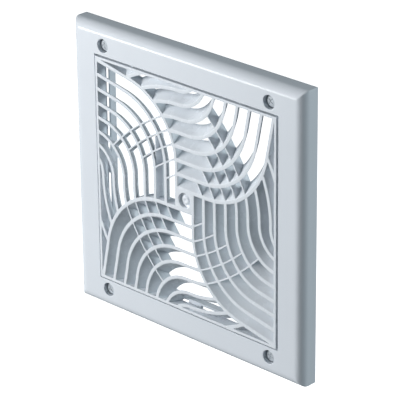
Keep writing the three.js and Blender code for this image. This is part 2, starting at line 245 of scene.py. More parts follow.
class StageSettings(bpy.types.PropertyGroup):
    """Camera, floor and air"""

    azimuth: angle("Azimuth", "Camera's turn to the right of the front", 43.98)
    elevation: angle("Elevation", "Camera's height above the horizon", 23.97)
    roll: angle("Roll", "Camera's turn about its own line of sight", -0.62)
    distance: length("Distance", "Camera from its aim point", 1.457)
    lens: FloatProperty(name="Lens", description="Focal length in millimetres", default=227.6)
    aim: FloatVectorProperty(name="Aim", description="Point in the middle of the picture", size=3,
                             default=(0.0005, 0.0, -0.0034), subtype="XYZ", unit="LENGTH")
    floor_drop: length("Floor drop", "Floor under the middle of the grille", 0.6)
    floor_radius: length("Floor radius", "Half the width of the floor", 6.0)
    colour: colour("Floor colour", "Pale floor and backdrop", (1.0, 1.0, 1.0))
    air_colour: colour("Air colour", "Faint light from all round", (0.76, 0.90, 0.98))
    air_strength: FloatProperty(name="Air strength", description="Brightness of that light",
                                default=0.135, min=0.0)


# ------------------------------------------------------------------ grids and bodies


def to_world(points):
    """Face coordinates (x right, y up, z out of the wall) as world ones: (x, -z, y)."""
    return np.stack([points[..., 0], -points[..., 2], points[..., 1]], axis=-1)


def turn(points, quarters):
    """Points turned about the z axis by quarter turns: (x, y) becomes (-y, x) at each."""
    x, y, z = points[..., 0], points[..., 1], points[..., 2]
    for _ in range(quarters):
        x, y = -y, x
    return np.stack([x, y, z], axis=-1)


def grid_quads(rows, columns, close_rows=False, close_columns=False):
    """Quads of a grid whose point (i, j) has number i * columns + j, wrapped where it closes."""
    i = np.arange(rows if close_rows else rows - 1)
    j = np.arange(columns if close_columns else columns - 1)
    i, j = np.meshgrid(i, j, indexing="ij")
    next_i, next_j = (i + 1) % rows, (j + 1) % columns
    corners = [i * columns + j, next_i * columns + j, next_i * columns + next_j, i * columns + next_j]
    return np.stack(corners, axis=-1).reshape(-1, 4)


def outward(vertices, faces):
    """A closed body with all its faces reversed where their signed volume is negative."""
    volume = 0.0
    for group in faces:
        first = vertices[group[:, 0]]
        for n in range(1, group.shape[1] - 1):
            side = np.cross(vertices[group[:, n]], vertices[group[:, n + 1]])
            volume += float(np.sum(first * side))
    if volume < 0.0:
        faces = [group[:, ::-1] for group in faces]
    return vertices, faces


def closed_ring(grid):
    """The closed body of a grid that wraps both ways."""
    rows, columns = grid.shape[:2]
    return outward(grid.reshape(-1, 3), [grid_quads(rows, columns, True, True)])


def capped_tube(grid):
    """The closed body of sections along the rows, each wrapped round, with a fan at both ends."""
    rows, columns = grid.shape[:2]
    middles = grid[[0, -1]].mean(axis=1)
    vertices = np.concatenate([grid.reshape(-1, 3), middles])
    here = np.arange(columns)
    after = (here + 1) % columns
    last = (rows - 1) * columns
    first_fan = np.stack([here, after, np.full(columns, rows * columns)], axis=-1)
    last_fan = np.stack([last + after, last + here, np.full(columns, rows * columns + 1)], axis=-1)
    return outward(vertices, [grid_quads(rows, columns, close_columns=True), first_fan, last_fan])


def rounded(corners, radii, steps=FILLET_STEPS):
    """A closed outline with arcs for corners, as an array (corner, step, 2).

    An arc touches both sides at radius / tan(half the corner's angle) from the corner, and its
    points are the middle plus the end spokes mixed by sin((1 - f) w) and sin(f w) over sin(w).
    """
    corners = np.asarray(corners, float)
    radii = np.broadcast_to(np.asarray(radii, float), len(corners))
    before = np.roll(corners, 1, axis=0) - corners
    after = np.roll(corners, -1, axis=0) - corners
    before /= np.linalg.norm(before, axis=1, keepdims=True)
    after /= np.linalg.norm(after, axis=1, keepdims=True)
    half = np.arccos(np.clip(np.sum(before * after, axis=1), -1, 1)) / 2
    reach = (radii / np.tan(half))[:, None]
    bisector = (before + after) / np.linalg.norm(before + after, axis=1, keepdims=True)
    middle = corners + bisector * (radii / np.sin(half))[:, None]
    first, last = corners + before * reach - middle, corners + after * reach - middle
    sweep = (np.pi - 2 * half)[:, None, None]
    f = np.linspace(0, 1, steps + 1)[None, :, None]
    spokes = np.sin((1 - f) * sweep) * first[:, None] + np.sin(f * sweep) * last[:, None]
    return middle[:, None] + spokes / np.sin(sweep)


def turned(profile, columns=ROUND_COLUMNS, centre=(0.0, 0.0)):
    """Rows of (radius, z) turned about the z axis through the centre, as a grid."""
    around = np.linspace(0, 2 * np.pi, columns, endpoint=False)
    radius, z = profile[:, :1], profile[:, 1:]
    x = centre[0] + radius * np.cos(around)
    y = centre[1] + radius * np.sin(around)
    return np.stack([x, y, np.broadcast_to(z, x.shape)], axis=-1)


def slab(low, high, fillet):
    """A box whose outline in the face plane has rounded corners and whose front edge is eased.

    Over the edge, the outline draws in by fillet * (1 - cos a) as it rises by fillet * sin a.
    """
    (x0, y0, z0), (x1, y1, z1) = low, high
    outline = rounded([(x0, y0), (x1, y0), (x1, y1), (x0, y1)], fillet, SLAB_STEPS).reshape(-1, 2)
    middle = np.array([(x0 + x1) / 2, (y0 + y1) / 2])
    roll = np.linspace(0, np.pi / 2, SLAB_STEPS + 1)
    half = np.array([x1 - x0, y1 - y0]) / 2
    rise = np.concatenate([[z0], z1 - fillet + fillet * np.sin(roll)])
    inset = np.concatenate([[0.0], fillet * (1 - np.cos(roll))])
    scale = 1 - inset[:, None] / half
    flat = middle + (outline - middle)[None] * scale[:, None]
    z = np.broadcast_to(rise[:, None, None], flat.shape[:2] + (1,))
    return capped_tube(np.concatenate([flat, z], axis=-1))


def make_piece(name, bodies, material, body, nodes):
    """One mesh object of several closed bodies in face coordinates, riding on a frame body."""
    vertices, faces, start = [], [], 0
    for points, groups in bodies:
        vertices.append(points)
        faces.extend(row for group in groups for row in (group + start).tolist())
        start += len(points)
    mesh = bpy.data.meshes.new(name)
    mesh.from_pydata(to_world(np.concatenate(vertices)), [], faces)
    merged = bmesh.new()
    merged.from_mesh(mesh)
    bmesh.ops.remove_doubles(merged, verts=merged.verts, dist=MERGE_DISTANCE)
    merged.to_mesh(mesh)
    merged.free()
    mesh.shade_smooth()
    mesh.set_sharp_from_angle(angle=SMOOTH_ANGLE)
    mesh.materials.append(material)
    piece = bpy.data.objects.new(name, mesh)
    bpy.context.scene.collection.objects.link(piece)
    flats = piece.modifiers.new("Even flats", "WEIGHTED_NORMAL")
    flats.keep_sharp = True
    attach(piece, body)
    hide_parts(*nodes)


# ------------------------------------------------------------------ finishes


def new_finish(name):
    """A fresh material, its node tree and its shader."""
    material = bpy.data.materials.new(name)
    material.use_nodes = True
    return material, material.node_tree, material.node_tree.nodes["Principled BSDF"]


def node_of(tree, kind, **values):
    """A new node with the given settings."""
    node = tree.nodes.new(kind)
    for name, value in values.items():
        setattr(node, name, value)
    return node


def noise(tree, coordinates, scale, detail):
    """A noise pattern over the object's own coordinates, scale cells to a metre."""
    node = node_of(tree, "ShaderNodeTexNoise")
    node.inputs["Scale"].default_value = scale
    node.inputs["Detail"].default_value = detail
    tree.links.new(coordinates.outputs["Object"], node.inputs["Vector"])
    return node.outputs["Fac"]


def remap(tree, value, low, high, start=0.3, end=0.7):
    """The value carried from start..end to low..high."""
    node = node_of(tree, "ShaderNodeMapRange")
    node.inputs["From Min"].default_value = start
    node.inputs["From Max"].default_value = end
    node.inputs["To Min"].default_value = low
    node.inputs["To Max"].default_value = high
    tree.links.new(value, node.inputs["Value"])
    return node.outputs["Result"]


def tinted(tree, value, dark, light):
    """The colour mixed from dark to light by the value."""
    node = node_of(tree, "ShaderNodeMix", data_type="RGBA")
    node.inputs["A"].default_value = (*dark, 1.0)
    node.inputs["B"].default_value = (*light, 1.0)
    tree.links.new(value, node.inputs["Factor"])
    return node.outputs["Result"]


def bumped(tree, shader, heights):
    """Chains bump nodes, each from a (height, strength, distance) row, into the shader's normal."""
    normal = None
    for height, strength, distance in heights:
        node = node_of(tree, "ShaderNodeBump")
        node.inputs["Strength"].default_value = strength
        node.inputs["Distance"].default_value = distance
        tree.links.new(height, node.inputs["Height"])
        if normal is not None:
            tree.links.new(normal, node.inputs["Normal"])
        normal = node.outputs["Normal"]
    tree.links.new(normal, shader.inputs["Normal"])


def moulded_plastic(name, base, roughness):
    """Semi-gloss moulded plastic: faint flow clouding, a fine eggshell skin and uneven gloss."""
    material, tree, shader = new_finish(name)
    coordinates = node_of(tree, "ShaderNodeTexCoord")
    clouds = remap(tree, noise(tree, coordinates, scale=26.0, detail=4.0), low=0.0, high=1.0)
    dark = tuple(channel * 0.985 for channel in base)
    light = tuple(min(channel * 1.01, 1.0) for channel in base)
    tree.links.new(tinted(tree, clouds, dark, light), shader.inputs["Base Color"])
    sheen = remap(tree, noise(tree, coordinates, scale=160.0, detail=5.0),
                  low=roughness - 0.02, high=roughness + 0.03)
    tree.links.new(sheen, shader.inputs["Roughness"])
    shader.inputs["Specular IOR Level"].default_value = 0.5
    shader.inputs["IOR"].default_value = 1.49
    skin = noise(tree, coordinates, scale=2600.0, detail=2.0)
    ripple = noise(tree, coordinates, scale=240.0, detail=2.0)
    bumped(tree, shader, [(ripple, 0.04, 0.0002), (skin, 0.08, 0.00004)])
    return material


def zinc_plate(name, base):
    """Passivated zinc on steel: a mottled grey, a dull and uneven gloss and a fine grain."""
    material, tree, shader = new_finish(name)
    coordinates = node_of(tree, "ShaderNodeTexCoord")
    mottle = remap(tree, noise(tree, coordinates, scale=900.0, detail=4.0), low=0.0, high=1.0)
    dark = tuple(channel * 0.93 for channel in base)
    tree.links.new(tinted(tree, mottle, dark, base), shader.inputs["Base Color"])
    gloss = remap(tree, noise(tree, coordinates, scale=1400.0, detail=3.0), low=0.42, high=0.56)
    tree.links.new(gloss, shader.inputs["Roughness"])
    shader.inputs["Metallic"].default_value = 0.15
    grain = noise(tree, coordinates, scale=5200.0, detail=2.0)
    bumped(tree, shader, [(grain, 0.1, 0.00003)])
    return material


# ------------------------------------------------------------------ bezel frame


def square_columns(reach, stations, corner, scale):
    """Columns of a square of half side `reach` with rounded corners, one row for each reach.

    A side is a half corner arc, the stations along it and the next half arc; the other three are
    quarter turns of it. Returns x and y, one row for each reach.
    """
    reach = np.asarray(reach)[:, None]
    centre = reach - corner
    rise = np.linspace(-np.pi / 4, 0, CORNER_STEPS + 1)
    low_x, low_y = centre + corner * np.cos(rise), -centre + corner * np.sin(rise)
    along = stations[None, :] * scale[:, None]
    high_x = centre + corner * np.cos(-rise[::-1])
    high_y = centre + corner * np.sin(-rise[::-1])
    x = np.concatenate([low_x, np.broadcast_to(reach, along.shape), high_x[:, :-1]], axis=1)
    y = np.concatenate([low_y, along, high_y[:, :-1]], axis=1)
    sides = [(x, y), (-y, x), (-x, -y), (y, -x)]
    return np.concatenate([s[0] for s in sides], axis=1), np.concatenate([s[1] for s in sides], axis=1)


def square_ring(profile, inner, corner):
    """The closed ring of a section of (reach, z) rows carried round a square.

    `inner` is the square's smallest half side, and its corners are rounded by `corner`.
    """
    stations = np.linspace(-0.9, 0.9, RING_STATIONS) * inner
    x, y = square_columns(profile[:, 0], stations, corner, np.ones(len(profile)))
    return closed_ring(np.stack([x, y, np.broadcast_to(profile[:, 1:], x.shape)], axis=-1))


def bezel_profile(s):
    """The bezel's section as (reach, z) rows, with the first rows of its front and inner faces.

    The corners are taken anticlockwise from the foot of the outer side. The big one is the quarter
    round, and every other corner has the small fillet.
    """
    opening = FRAME_HALF - s.band
    foot = PANEL_BACK - s.seat_clearance - s.ledge_thickness
    top = FRAME_DEPTH - s.wall
    f = s.fillet
    corners = [
        (FRAME_HALF, 0.0), (FRAME_HALF, FRAME_DEPTH), (opening + s.draft, FRAME_DEPTH),
        (opening + s.draft, foot), (opening + s.wall, foot), (opening + s.wall, top),
        (FRAME_HALF - s.wall, top), (FRAME_HALF - s.wall, 0.0),
    ]
    arcs = rounded(corners, [f, s.edge_radius, f, f, f, f, s.edge_radius - s.wall, f])
    share = np.linspace(0, 1, BLEND_ROWS + 1)[1:-1, None]
    front = arcs[1, -1] + (arcs[2, 0] - arcs[1, -1]) * share
    inner = arcs[5, -1] + (arcs[6, 0] - arcs[5, -1]) * share
    rows = [arcs[0], arcs[1], front, *arcs[2:6], inner, arcs[6], arcs[7]]
    front_row = arcs.shape[1] * 2 - 1
    inner_row = arcs.shape[1] * 6 + len(front) - 1
    return np.concatenate(rows), front_row, inner_row


def seat_ledge(s, lip):
    """The upright lip round the duct's mouth and the bridges of ledge that tie it to the bezel."""
    seat = PANEL_BACK - s.seat_clearance
    f = s.fillet
    outer = lip + s.lip_wall
    corners = [(outer, 0.0), (outer, seat), (lip, seat), (lip, 0.0)]
    bodies = [square_ring(rounded(corners, f, FINE_STEPS).reshape(-1, 2), lip, s.mitre)]
    foot = seat - s.ledge_thickness
    inside = lip + s.lip_wall / 2
    outside = FRAME_HALF - s.band + s.wall / 2
    half = s.ledge_bridge / 2
    # A bridge in mid side and one at each end, every one a layer thinner than the last.
    spans = [(-half, half, 1), (lip - half, outside, 2), (-inside, half - lip, 3)]
    for side in range(4):
        for first, last, layer in spans:
            low = (inside, first, foot + layer * BRIDGE_STEP)
            high = (outside, last, seat - layer * BRIDGE_STEP)
            points, faces = slab(low, high, f)
            bodies.append((turn(points, side), faces))
    return bodies


def block_loop(columns, row, column):
    """Numbers of the grid points round a square block, from its first row and column."""
    run = np.arange(BLEND_ROWS)
    rows = np.concatenate([row + run, np.full(BLEND_ROWS, row + BLEND_ROWS),
                           row + BLEND_ROWS - run, np.full(BLEND_ROWS, row)])
    across = np.concatenate([np.full(BLEND_ROWS, column), column + run,
                             np.full(BLEND_ROWS, column + BLEND_ROWS), column + BLEND_ROWS - run])
    return rows * columns + across


def recess_tube(front_loop, inner_loop, centre, radius, lip, front_z, inner_z):
    """Rows of points from a square block in the face, round the recess's lip, to the inner face.

    Each loop is sorted by its angle about the centre. Rows mix the square loop with a circle,
    follow a quarter circle over the lip, drop down the recess wall and mix out again.
    """
    def sorted_loop(loop):
        spokes = loop[:, :2] - centre
        order = np.argsort(np.arctan2(spokes[:, 1], spokes[:, 0]))
        return loop[order]

    front_loop, inner_loop = sorted_loop(front_loop), sorted_loop(inner_loop)
    spokes = front_loop[:, :2] - centre
    around = np.arctan2(spokes[:, 1], spokes[:, 0])
    spokes = np.stack([np.cos(around), np.sin(around)], axis=-1)

    def circle(size, z):
        return np.concatenate([centre + spokes * size, np.full((len(spokes), 1), z)], axis=1)

    share = np.linspace(0, 1, EASE_POINTS)[:, None, None]
    face = front_loop + (circle(radius + lip, front_z) - front_loop) * share
    roll = np.linspace(0, np.pi / 2, EASE_POINTS)[1:]
    over = [circle(radius + lip * (1 - np.sin(a)), front_z - lip * (1 - np.cos(a))) for a in roll]
    bottom = circle(radius, inner_z)
    back = bottom + (inner_loop - bottom) * share
    return np.concatenate([face, np.stack(over), back])


def bezel_shell(s):
    """The bezel's moulded section carried round a square, opened at four screw recesses.

    A square block of its front and inner faces is left out at each recess, and a tube joins them.
    """
    profile, front_row, inner_row = bezel_profile(s)
    flat = s.band - s.draft - s.edge_radius - s.fillet
    half = flat / 2
    block = np.linspace(-half, half, BLEND_ROWS + 1)
    sides = np.linspace(-SCREW_X + half, SCREW_X - half, BAND_COLUMNS)[1:-1]
    stations = np.concatenate([-SCREW_X + block, sides, SCREW_X + block])
    widest = FRAME_HALF - s.band + s.draft + s.fillet - s.mitre
    scale = np.minimum(1.0, (profile[:, 0] - s.mitre) / widest)
    x, y = square_columns(profile[:, 0], stations, s.mitre, scale)
    grid = np.stack([x, y, np.broadcast_to(profile[:, 1:], x.shape)], axis=-1)
    rows, columns = x.shape
    keep = np.ones((rows, columns), bool)
    points = grid.reshape(-1, 3)
    side_columns = columns // 4
    first_blocks = [CORNER_STEPS + 1, CORNER_STEPS + 1 + len(stations) - BLEND_ROWS - 1]
    tubes = []
    for side in (1, 3):  # the top and bottom bands hold the screws
        for offset in first_blocks:
            column = side * side_columns + offset
            for row in (front_row, inner_row):
                keep[row:row + BLEND_ROWS, column:column + BLEND_ROWS] = False
            front = points[block_loop(columns, front_row, column)]
            inner = points[block_loop(columns, inner_row, column)]
            centre = np.array([np.copysign(SCREW_X, front[:, 0].mean()),
                               np.copysign(SCREW_Y, front[:, 1].mean())])
            tubes.append(recess_tube(front, inner, centre, s.recess_radius, s.fillet,
                                     FRAME_DEPTH, FRAME_DEPTH - s.wall))
    quads = grid_quads(rows, columns, True, True)[keep.reshape(-1)]
    vertices, groups, start = [points], [quads], len(points)
    for tube in tubes:
        vertices.append(tube.reshape(-1, 3))
        groups.append(grid_quads(*tube.shape[:2], close_columns=True) + start)
        start += tube.shape[0] * tube.shape[1]
    return np.concatenate(vertices), groups


def screw_boss(s, x, y):
    """A turned sleeve behind the face: the rest of the recess, its floor, the bore and the boss."""
    top = FRAME_DEPTH - s.wall
    outer = s.recess_radius + s.boss_wall
    floor = FRAME_DEPTH - s.recess_depth
    small = s.fillet / 2
    seam = 0.02 * MM
    corners = [(s.recess_radius, top), (s.recess_radius, floor), (s.bore_radius, floor),
               (s.bore_radius, 0.0), (outer, 0.0), (outer, top)]
    arcs = rounded(corners, [seam, small, small, small, small, seam], FINE_STEPS)
    return closed_ring(turned(arcs.reshape(-1, 2), centre=(x, y)))


def bezel_web(s, side, along):
    """A web across the hollow: a grid between the inner wall and the outer wall with its round.

    The outer line climbs straight and follows the quarter round half a wall in; the inner line
    climbs straight. Both faces of the web are that grid, half a thickness to each side.
    """
    inner = FRAME_HALF - s.band + s.wall / 2
    outer = FRAME_HALF - s.wall / 2
    top = FRAME_DEPTH - s.wall / 2
    bend = s.edge_radius - s.wall / 2
    sweep = np.linspace(0, np.pi / 2, FILLET_STEPS + 1)
    arc = np.stack([outer - bend + bend * np.cos(sweep), top - bend + bend * np.sin(sweep)], axis=-1)
    outline = np.concatenate([[(inner, s.gusset_setback), (outer, s.gusset_setback)], arc,
                              [(inner, top)]])
    half = s.gusset_thickness / 2
    rows = [np.column_stack([outline[:, 0], np.full(len(outline), along + offset), outline[:, 1]])
            for offset in (-half, half)]
    vertices, faces = capped_tube(np.stack(rows))
    return turn(vertices, side), faces


class GRILLE_OT_bezel(bpy.types.Operator):
    """Build the bezel frame with its recesses, bosses and webs"""

    bl_idname = "grille.bezel"
    bl_label = "Bezel frame"

    def execute(self, context):
        s = context.scene.grille_bezel
        shell = bezel_shell(s)
        lip = FRAME_HALF - s.band - context.scene.grille_panel.gap - s.ledge_reach
        bodies = [outward(*shell), *seat_ledge(s, lip)]
        for x in (-SCREW_X, SCREW_X):
            for y in (-SCREW_Y, SCREW_Y):
                bodies.append(screw_boss(s, x, y))
        for side in range(4):
            for n in range(s.gussets):
                along = (n - (s.gussets - 1) / 2) * s.gusset_pitch
                bodies.append(bezel_web(s, side, along))
        material = moulded_plastic("bezel_plastic_skin", tuple(s.colour), roughness=0.24)
        make_piece("bezel_moulding", bodies, material, "frame", ["bezel_frame"])
        return {"FINISHED"}


# ------------------------------------------------------------------ swirl pattern


class Swirl:
    """The pattern's curves in the lower right quarter, from the panel's centre.

    Curve k is an arc about the hub point, an upright stretch, a bend and a gently falling last
    stretch. Its place along the curve, s, runs from 0 to 4, one for each of those.
    """

    def __init__(self, p, half):
        self.p = p
        self.half = half
        self.hub_x = p.first_rib - p.hub_radius
        self.fall = np.arctan(p.end_slope)

    def bend_of(self, k):
        """Upright's x, bend radius and the bend's middle of curve k.

        The bend's radius is bend - bend_step * k, and its middle lies that far from the last
        stretch, which meets the panel's edge at edge_pitch * k + corner_offset over the corner.
        """
        p = self.p
        x = p.first_rib + p.pitch * k
        bend = np.maximum(p.bend - p.bend_step * k, p.bend_least)
        end = p.edge_pitch * k + p.corner_offset - self.half
        end = end - p.end_slope * (x + bend - self.half)
        y = np.minimum(end + bend * np.hypot(1, p.end_slope), p.hub_height - p.upright_least)
        return x, bend, x + bend, y

    def points(self, k, offset, s, start_y):
        """Points of curve k moved sideways by the offset, at places s, with the upright's top.

        In turn: an arc of hub_radius + pitch * k + offset about the hub point, a line down, an
        arc of bend - offset about the bend's middle, and a line that falls by end_slope.
        """
        p = self.p
        x, bend, mid_x, mid_y = self.bend_of(k)
        part = np.clip(s - np.array([0, 1, 2, 3])[:, *[None] * np.ndim(s)], 0, 1)
        hub_radius = p.hub_radius + p.pitch * k + offset
        climb = (1 - part[0]) * np.pi / 2
        bend_angle = np.pi + part[2] * (np.pi / 2 - self.fall)
        radius = bend - offset
        end_x = mid_x + radius * np.cos(1.5 * np.pi - self.fall)
        end_y = mid_y + radius * np.sin(1.5 * np.pi - self.fall)
        run = part[3] * (np.maximum(self.half, mid_x) + PAST_RIM - mid_x)
        px = np.select(
            [s < 1, s < 2, s < 3],
            [self.hub_x + hub_radius * np.cos(climb), x + offset + 0 * s,
             mid_x + radius * np.cos(bend_angle)], end_x + run)
        py = np.select(
            [s < 1, s < 2, s < 3],
            [p.hub_height + hub_radius * np.sin(climb), start_y + (mid_y - start_y) * part[1],
             mid_y + radius * np.sin(bend_angle)], end_y - p.end_slope * run)
        return px, py

    def side(self, x, y, k, hub=True):
        """Signed distance from curve k, positive on its right and upper side.

        It is x less the upright's, the bend less the distance from its middle, the height over
        the last stretch, or the distance from the hub point less the arc's radius.
        """
        p = self.p
        line_x, bend, mid_x, mid_y = self.bend_of(k)
        dx, dy = x - mid_x, y - mid_y
        beyond = dx * np.cos(self.fall) - dy * np.sin(self.fall) > 0
        last = dx * np.sin(self.fall) + dy * np.cos(self.fall) + bend
        amount = np.where(beyond, last, bend - np.hypot(dx, dy))
        amount = np.where(dy >= 0, x - line_x, amount)
        if hub:
            about = np.hypot(x - self.hub_x, y - p.hub_height) - p.hub_radius - p.pitch * k
            amount = np.where(y >= p.hub_height, about, amount)
        return amount

    def within(self, x, y, past_boundary):
        """How far a point lies inside the quarter: past its boundary, before the next, in the rim.

        The first louvre shares the boundary's front edge, so it leaves the boundary out.
        """
        edge = self.half - self.p.rim / 2
        sides = [-self.side(y, -x, 0.0, False), edge - x, edge + y, edge - y]
        if past_boundary:
            sides.append(self.side(x, y, 0.0, False))
        return np.minimum.reduce(sides)


def trimmed_places(inside, places):
    """First and last place of each line's inside stretch, where its inside amount crosses zero.

    The stretch holds the line's most inside place, and a crossing is linear between two places.
    """
    lines, count = inside.shape
    index = np.arange(count)[None, :]
    anchor = inside.argmax(axis=1)[:, None]
    out = inside <= 0
    before = np.where(out & (index < anchor), index, -1).max(axis=1)
    after = np.where(out & (index > anchor), index, count).min(axis=1)

    def crossing(low):
        low = np.clip(low, 0, count - 2)
        a = inside[np.arange(lines), low]
        b = inside[np.arange(lines), low + 1]
        share = np.where(a * b < 0, a / np.where(a == b, 1, a - b), np.where(a > 0, 0.0, 1.0))
        return places[low] + share * (places[low + 1] - places[low])

    first = np.where(before < 0, places[0], crossing(before))
    last = np.where(after >= count, places[-1], crossing(after - 1))
    return first, last


def rib_section(width, depth, fillet, back_width):
    """A rib's section as (offset, depth) points: a flat front with eased edges, sides and a back."""
    corners = [(-width / 2, 0.0), (width / 2, 0.0), (back_width / 2, depth), (-back_width / 2, depth)]
    arcs = rounded(corners, [fillet, fillet, fillet / 2, fillet / 2], FINE_STEPS)
    share = np.linspace(0, 1, RIB_ROWS + 1)[1:-1, None]
    right = arcs[1, -1] + (arcs[2, 0] - arcs[1, -1]) * share
    left = arcs[3, -1] + (arcs[0, 0] - arcs[3, -1]) * share
    return np.concatenate([arcs[0], arcs[1], right, arcs[2, ::2], arcs[3, ::2], left])


def swept(section, front, curve, inside, places):
    """A rib: every line of its section follows the curve and stops where it leaves its region.

    `curve(offset, depth, place)` gives x and y, and `inside(x, y, depth)` is positive in the
    region. The lines share their places along the curve, each held within its own ends. The
    places are even in the curve's length plus its turning, so tight bends get more of them.
    """
    offset, depth = section[:, :1], section[:, 1:]
    x, y = curve(offset, depth, np.broadcast_to(places, (len(section), len(places))))
    first, last = trimmed_places(inside(x, y, depth), places)
    middle = len(section) // 2
    dx, dy = np.diff(x[middle]), np.diff(y[middle])
    heading = np.unwrap(np.arctan2(dy, dx))
    turning = abs(np.diff(heading, prepend=heading[0]))
    run = np.concatenate([[0.0], np.cumsum(np.hypot(dx, dy) + TURN_WEIGHT * turning)])
    low, high = np.interp([first.min(), last.max()], places, run)
    samples = int(np.ceil((high - low) / SWEEP_STEP)) + 2
    shared = np.interp(np.linspace(low, high, samples), run, places)
    place = np.clip(shared[None, :], first[:, None], last[:, None])
    x, y = curve(offset, depth, place)
    z = np.broadcast_to(front - depth, x.shape)
    return capped_tube(np.stack([x, y, z], axis=-1).transpose(1, 0, 2))


def louvre(swirl, k, front, section, depth):
    """Louvre k of a quarter: it slides towards the next one from its front edge to its back."""
    lean = swirl.p.lean / swirl.p.pitch / depth
    start_y = swirl.p.hub_height if k else swirl.p.first_rib
    first = 0.0 if k else 1.0

    def curve(offset, d, place):
        return swirl.points(k + lean * d, offset, place, start_y)

    places = np.linspace(first, LAST_PLACE, LOUVRE_PLACES)
    return swept(section, front, curve, lambda x, y, d: swirl.within(x, y, k > 0), places)


def boundary_wall(swirl, front, section):
    """The upright wall between two quarters, from the centre boss to the panel's corner."""
    edge = swirl.half - swirl.p.rim / 2

    def curve(offset, d, place):
        return swirl.points(0.0, offset, place, 0.0)

    def inside(x, y, d):
        return np.minimum(edge - x, edge + y)

    return swept(section, front, curve, inside, np.linspace(1.0, LAST_PLACE, WALL_PLACES))


def cross_rib(swirl, k, front, section, depth):
    """Thin rib k: an arc of cross_radius + pitch * k, from the boundary rib to louvre k."""
    p = swirl.p
    radius = p.cross_radius + p.pitch * k
    lean = p.lean / p.pitch / depth

    def curve(offset, d, place):
        sweep = p.cross_from + place * (p.cross_to - p.cross_from)
        x = p.cross_centre[0] + (radius + offset) * np.cos(sweep) + 0 * d
        y = p.cross_centre[1] + (radius + offset) * np.sin(sweep) + 0 * d
        return x, y

    def inside(x, y, d):
        return np.minimum(swirl.side(x, y, 0.0, False), -swirl.side(x, y, k + lean * d))

    return swept(section, front, curve, inside, np.linspace(0, 1, CROSS_PLACES))


# ------------------------------------------------------------------ louvre panel


def panel_rim(p, half):
    """The panel's rim: a rounded rectangle of a section carried round a square."""
    inner = half - p.rim
    outer = half - p.draft
    corners = [(outer, PANEL_BACK), (outer, PANEL_FRONT), (inner, PANEL_FRONT), (inner, PANEL_BACK)]
    radii = [p.fillet / 2, p.fillet / 2, p.fillet, p.fillet / 2]
    return square_ring(rounded(corners, radii, RIM_STEPS).reshape(-1, 2), inner, RIM_CORNER)


def centre_boss(p):
    """The turned boss: an eased rim, a dish with a domed and dimpled button, and a hollow back.

    The button's height is h * (1 - u ^ 6) less a dimple of 0.3 h * exp(-(u / 0.3) ^ 2), where u
    runs from 0 at its middle to 1 at its edge.
    """
    outer = p.first_rib + p.rib / 2
    floor = PANEL_FRONT - p.recess_depth
    hollow = floor - p.boss_web
    f = p.fillet
    pole_back, pole_front = 0.05 * MM, 0.02 * MM  # small circles that the caps close
    roll = np.linspace(0, np.pi / 2, EASE_POINTS)
    u = np.linspace(0, 1, 14)
    dimple = 0.3 * p.button_height * np.exp(-(u / 0.3) ** 2)
    crown = p.button_height * (1 - u ** 6) - dimple
    button = np.column_stack([p.button_radius * u, floor + crown])[:0:-1]
    rim_in = np.column_stack([p.recess_radius + f * (1 - np.cos(roll[::-1])),
                              PANEL_FRONT - f * (1 - np.sin(roll[::-1]))])
    rim_out = np.column_stack([outer - f * (1 - np.cos(roll)), PANEL_FRONT - f * (1 - np.sin(roll))])
    profile = np.concatenate([
        [(pole_back, hollow), (p.recess_radius * 0.96, hollow), (p.recess_radius, hollow - 0.2 * MM),
         (p.recess_radius, PANEL_BACK), (outer, PANEL_BACK)],
        rim_out, rim_in,
        [(p.recess_radius, floor + f), (p.recess_radius - 0.3 * f, floor + 0.3 * f),
         (p.recess_radius - f, floor)],
        button,
        [(pole_front, button[-1, 1])],
    ])
    return capped_tube(turned(profile))


def friction_nub(p, half, side, along):
    """A round nub on the rim's outer side: an arc of nub_radius that stands nub_height proud.

    It swells from nothing to full over the first tenth of its length, and back over the last.
    """
    sunk = p.nub_radius - p.nub_height
    spread = np.linspace(-1, 1, 15) * np.arccos(sunk / p.nub_radius) * 1.25
    middle = (PANEL_FRONT + PANEL_BACK) / 2
    reach = (PANEL_FRONT - PANEL_BACK) / 4
    z = middle + reach * np.array([-1.0, -0.94, -0.8, 0.8, 0.94, 1.0])
    swell = np.array([0.0, 0.7, 1.0, 1.0, 0.7, 0.0])[:, None]
    out = half - sunk + (p.nub_radius * np.cos(spread) - p.nub_height * (1 - swell))
    back = np.full((len(z), 1), half - p.rim / 2)
    x = np.concatenate([out, back, back], axis=1)
    y = along + p.nub_radius * np.sin(spread)
    y = np.broadcast_to(np.concatenate([y, [y[-1], y[0]]]), x.shape)
    vertices, faces = capped_tube(np.stack([x, y, np.broadcast_to(z[:, None], x.shape)], axis=-1))
    return turn(vertices, side), faces


